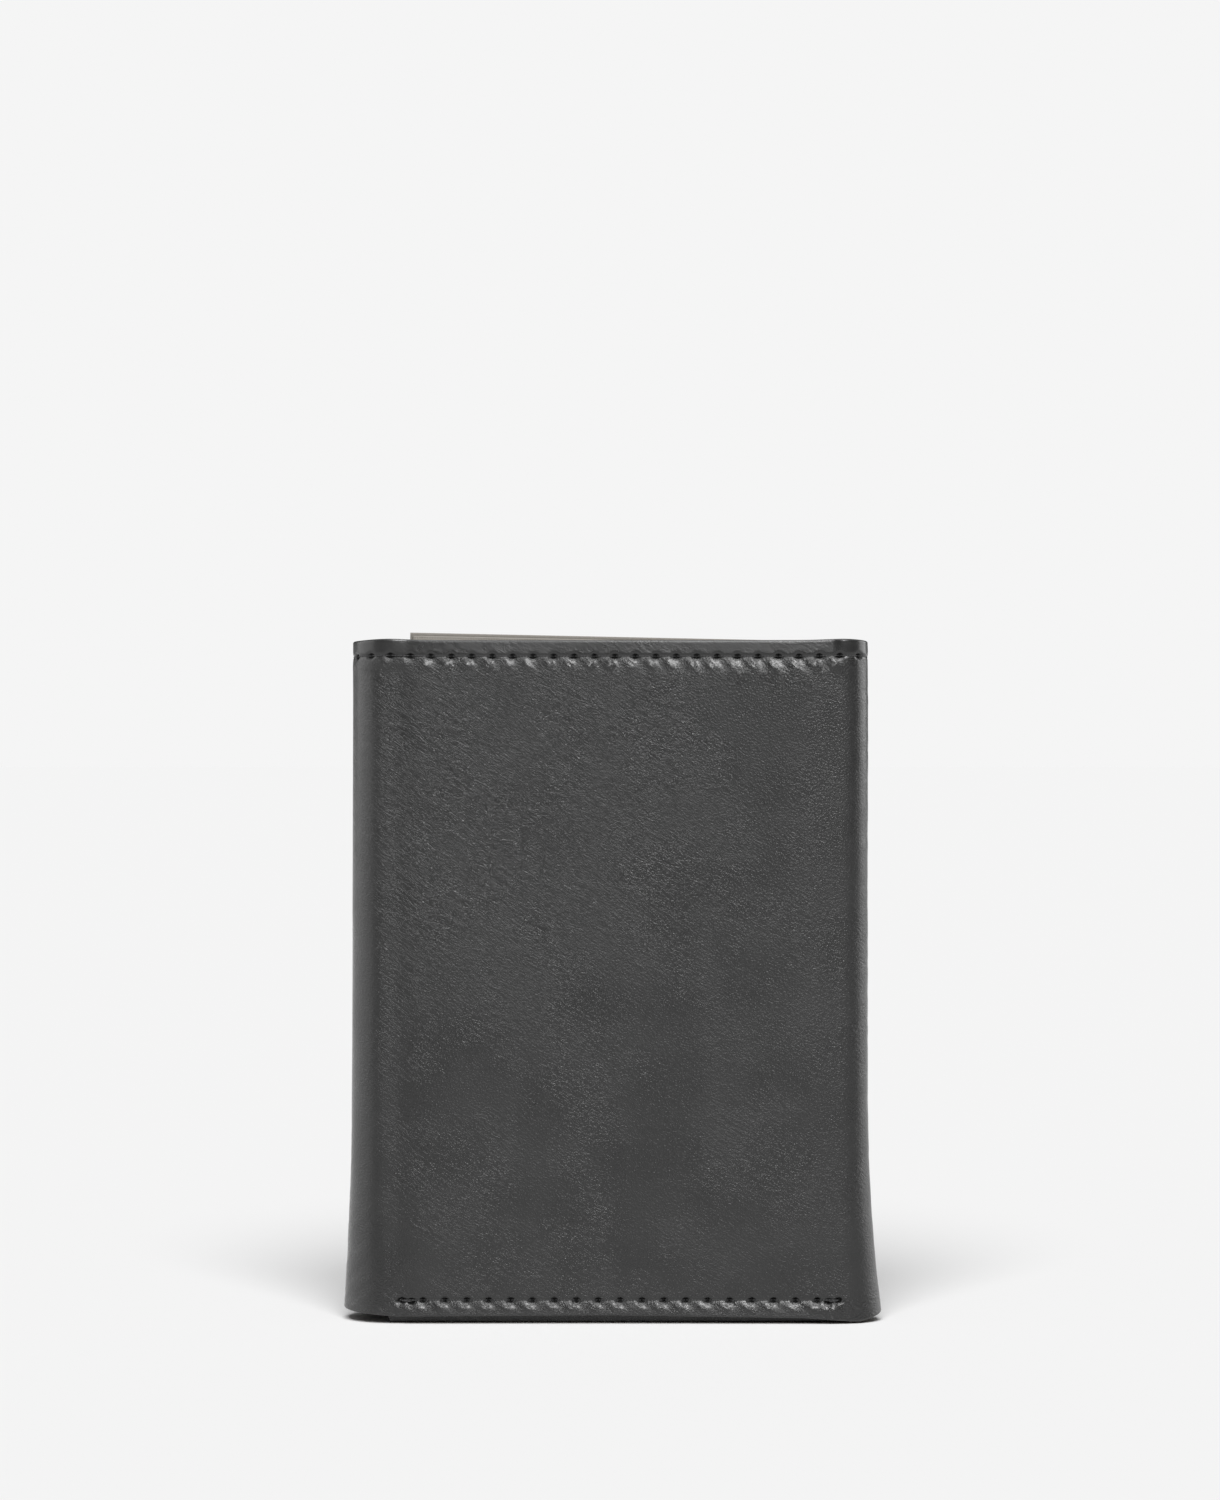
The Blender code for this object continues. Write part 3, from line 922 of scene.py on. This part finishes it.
def flesh_material():
    look = Nodes("leather_flesh_side")
    fibres = look.noise(look.placed(scale=(1, 1, 1)), 2.2, 6, 0.7, 1.0)
    color = look.ramp(fibres, (0.17, 0.155, 0.135), (0.27, 0.255, 0.235))
    look.join(color, look.shader.inputs["Base Color"])
    look.shader.inputs["Roughness"].default_value = 0.88
    look.bump(fibres, 0.5, 0.06 * MM)
    return look.material


def lining_material():
    """A plain weave, with slightly uneven yarns."""
    look = Nodes("lining_weave")
    waves = []
    for angle in (0, HALF_PI):
        node = look.tree.nodes.new("ShaderNodeTexWave")
        node.inputs["Scale"].default_value = 0.75
        node.inputs["Distortion"].default_value = 0.4
        node.inputs["Detail"].default_value = 1
        look.join(look.placed(angle=angle), node.inputs["Vector"])
        waves.append(node.outputs["Fac"])
    weave = look.math("MAXIMUM", *waves)
    uneven = look.noise(look.placed(), 0.4, 4, 0.6)
    tone = look.math("MULTIPLY_ADD", weave, 0.5, look.math("MULTIPLY", uneven, 0.6))
    look.join(look.ramp(tone, (0.2, 0.18, 0.155), (0.34, 0.32, 0.29)), look.shader.inputs["Base Color"])
    look.shader.inputs["Roughness"].default_value = 0.82
    look.shader.inputs["Sheen Weight"].default_value = 0.15
    look.bump(weave, 0.6, 0.05 * MM)
    return look.material


def thread_material():
    """Black waxed thread, twisted from three strands."""
    look = Nodes("twisted_thread")
    node = look.tree.nodes.new("ShaderNodeTexWave")
    node.bands_direction = "DIAGONAL"
    node.inputs["Scale"].default_value = 1.4
    look.join(look.placed(scale=(1, 1, 0)), node.inputs["Vector"])
    strands = node.outputs["Fac"]
    color = look.ramp(strands, (0.009, 0.009, 0.009), (0.03, 0.03, 0.031))
    look.join(color, look.shader.inputs["Base Color"])
    look.shader.inputs["Roughness"].default_value = 0.55
    look.bump(strands, 0.7, 0.05 * MM)
    return look.material


# Stage


def make_stage():
    bpy.ops.mesh.primitive_plane_add(size=40)
    floor = bpy.context.object
    floor.name = "studio_floor"
    material = bpy.data.materials.new("studio_floor")
    material.use_nodes = True
    shader = material.node_tree.nodes["Principled BSDF"]
    shader.inputs["Base Color"].default_value = (FLOOR_TONE, FLOOR_TONE, FLOOR_TONE, 1)
    shader.inputs["Roughness"].default_value = 1.0
    shader.inputs["Specular IOR Level"].default_value = 0.0
    floor.data.materials.append(material)
    floor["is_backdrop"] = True
    return floor


def make_world():
    """A pale backdrop, and a softer light from all round than the backdrop looks."""
    world = bpy.data.worlds.new("studio")
    bpy.context.scene.world = world
    world.use_nodes = True
    tree = world.node_tree
    shader = tree.nodes["Background"]
    shader.inputs["Color"].default_value = (1, 1, 1, 1)
    path = tree.nodes.new("ShaderNodeLightPath")
    level = tree.nodes.new("ShaderNodeMapRange")
    level.inputs["To Min"].default_value = FILL
    level.inputs["To Max"].default_value = BACKDROP
    tree.links.new(path.outputs["Is Camera Ray"], level.inputs["Value"])
    tree.links.new(level.outputs["Result"], shader.inputs["Strength"])


def make_sun(name, towards, strength, angle):
    data = bpy.data.lights.new(name, "SUN")
    data.energy = strength
    data.angle = math.radians(angle)
    light = bpy.data.objects.new(name, data)
    light.rotation_euler = Vector(towards).to_track_quat("Z", "Y").to_euler()
    bpy.context.scene.collection.objects.link(light)
    return light


def shine_on(name, objects, lights):
    """Lets these lights shine on these objects alone."""
    lit = bpy.data.collections.new(f"lit_{name}")
    for obj in objects:
        lit.objects.link(obj)
    for light in lights:
        light.light_linking.receiver_collection = lit


def make_camera():
    data = bpy.data.cameras.new("camera")
    data.lens = LENS
    data.sensor_width = SENSOR
    camera = bpy.data.objects.new("camera", data)
    camera.location = (0, FRONT - CAMERA_DISTANCE, CAMERA_HEIGHT)
    camera.rotation_euler = (HALF_PI, 0, 0)
    bpy.context.scene.collection.objects.link(camera)
    bpy.context.scene.camera = camera


make_camera()
make_world()
floor = make_stage()
floor_light = make_sun("floor_light", (0, -0.8, 1), 3.53, 38)
piece_lights = [
    make_sun("top", (0.12, -0.1, 1), 0.9, 100),
    make_sun("edge", (0.1, -0.5, 1), 1.2, 30),
    make_sun("key", (0.2, -1, 0.52), 1.65, 15),
    make_sun("left_rim", (-1, -0.05, 0.2), 2.0, 70),
    make_sun("right_rim", (1, 0.3, 0.2), 1.7, 50),
]
bpy.context.scene.view_settings.view_transform = "Standard"

shell_leather = leather_material(
    "shell_leather_grain", (0.0062, 0.0062, 0.0061), (0.0082, 0.0082, 0.0081), 0.31, TOP_SEAM / MM
)
pocket_leather = leather_material(
    "pocket_leather_grain", (0.0075, 0.0074, 0.0073), (0.012, 0.0117, 0.0114), 0.38
)
make_shell([shell_leather, flesh_material()])
make_lining([lining_material()])
make_wall([pocket_leather])
make_pockets([pocket_leather])
make_threads([thread_material()])
shine_on("floor", [floor], [floor_light])
shine_on("pieces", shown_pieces(), piece_lights)
